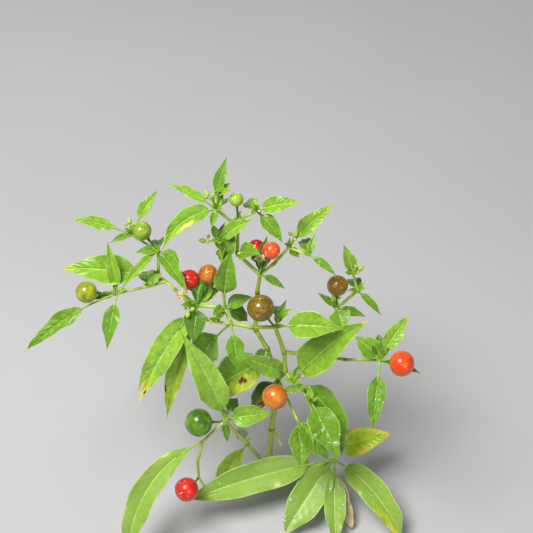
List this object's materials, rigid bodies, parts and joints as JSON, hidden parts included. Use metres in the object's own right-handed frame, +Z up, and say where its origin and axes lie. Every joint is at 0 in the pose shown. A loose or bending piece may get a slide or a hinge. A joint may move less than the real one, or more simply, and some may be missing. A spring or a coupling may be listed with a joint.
{
  "type": "chilli pepper plant",
  "caption": "Small branching chilli pepper plant with slender forked stems, pointed folded leaves and round upright fruit, rooted in the ground by its cut main stem.",
  "frame": {"origin": "on the flat cut under the main stem, at ground level", "axes": "+Z up out of the ground, -Y toward the side that the plant opens to, +X to the right as seen from there"},
  "size_m": [0.2189, 0.1323, 0.2351],
  "materials": {
    "bark": "satin",
    "old_bark": "matte",
    "leaf": "satin"
  },
  "bodies": {
    "root": {"main_stem": "old_bark", "front_stem": "bark", "back_stem": "bark", "left_bough": "bark", "top_bough": "bark", "right_top_bough": "bark", "right_bough": "bark", "right_low_bough": "bark", "left_stem": "old_bark", "basal_shoot": "bark", "lower_right_sprig": "leaf", "fork_sprig": "leaf", "waist_sprig": "leaf", "middle_sprig": "leaf", "left_knot_sprig": "leaf", "centre_left_sprig": "leaf", "left_axil_sprig": "leaf", "far_left_sprig": "leaf", "upper_left_sprig": "leaf", "heart_sprig": "leaf", "top_axil_sprig": "leaf", "top_left_sprig": "leaf", "top_right_sprig": "leaf", "right_top_sprig": "leaf", "right_tip_sprig": "leaf", "right_cluster_sprig": "leaf", "lower_left_sprig": "leaf", "trailing_sprig": "leaf", "left_stem_sprig": "leaf", "basal_sprig": "leaf", "dry_twig": "old_bark"}
  },
  "joints": []
}
